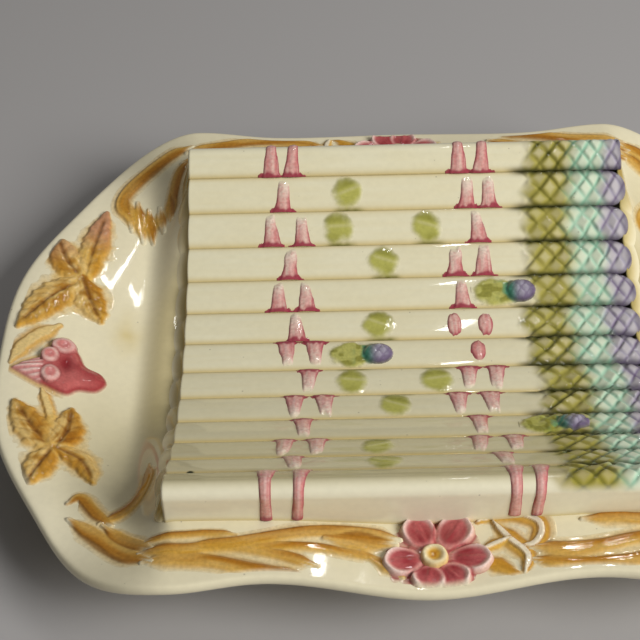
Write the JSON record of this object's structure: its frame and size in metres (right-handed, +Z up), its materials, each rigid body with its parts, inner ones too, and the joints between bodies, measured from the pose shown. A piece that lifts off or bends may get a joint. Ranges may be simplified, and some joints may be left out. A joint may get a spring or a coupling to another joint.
{
  "type": "asparagus plate",
  "caption": "Oval glazed earthenware serving plate with a lobed rim, end wells and a trough of moulded asparagus spears tied with straps, trimmed with ribbons, flowers and leaves.",
  "frame": {"origin": "middle of the foot ring's underside, on the table", "axes": "+X along the spears towards their scaled tips, +Y to the back rim, +Z up"},
  "size_m": [0.366, 0.281, 0.0609],
  "materials": {
    "cream_glaze": "glossy glaze",
    "spear_glaze": "glossy glaze",
    "pink_glaze": "glossy glaze",
    "green_glaze": "glossy glaze",
    "bud_glaze": "glossy glaze",
    "flower_centre_glaze": "glossy glaze",
    "leaf_glaze": "glossy glaze",
    "ribbon_glaze": "glossy glaze"
  },
  "bodies": {
    "root": {"platter": "cream_glaze", "cradle": "cream_glaze", "spear_01": "spear_glaze", "spear_02": "spear_glaze", "spear_03": "spear_glaze", "spear_04": "spear_glaze", "spear_05": "spear_glaze", "spear_06": "spear_glaze", "spear_07": "spear_glaze", "spear_08": "spear_glaze", "spear_09": "spear_glaze", "spear_10": "spear_glaze", "spear_11": "spear_glaze", "spear_12": "spear_glaze", "spear_13": "spear_glaze", "left_tie": "pink_glaze", "right_tie": "pink_glaze", "front_flower": "pink_glaze", "back_flower": "pink_glaze", "left_bell_flower": "pink_glaze", "right_bell_flower": "pink_glaze", "stalk_bracts": "green_glaze", "side_bud_05": "bud_glaze", "side_bud_07": "bud_glaze", "side_bud_10": "bud_glaze", "front_flower_centre": "flower_centre_glaze", "back_flower_centre": "flower_centre_glaze", "left_rear_leaf_spray": "leaf_glaze", "left_front_leaf_spray": "leaf_glaze", "right_front_leaf_spray": "leaf_glaze", "right_rear_leaf_spray": "leaf_glaze", "front_bow": "ribbon_glaze", "back_bow": "ribbon_glaze", "front_left_ribbon": "ribbon_glaze", "front_right_ribbon": "ribbon_glaze", "back_left_ribbon": "ribbon_glaze", "back_right_ribbon": "ribbon_glaze", "front_left_corner_ribbon": "ribbon_glaze", "front_right_corner_ribbon": "ribbon_glaze", "back_left_corner_ribbon": "ribbon_glaze", "back_right_corner_ribbon": "ribbon_glaze"}
  },
  "joints": []
}
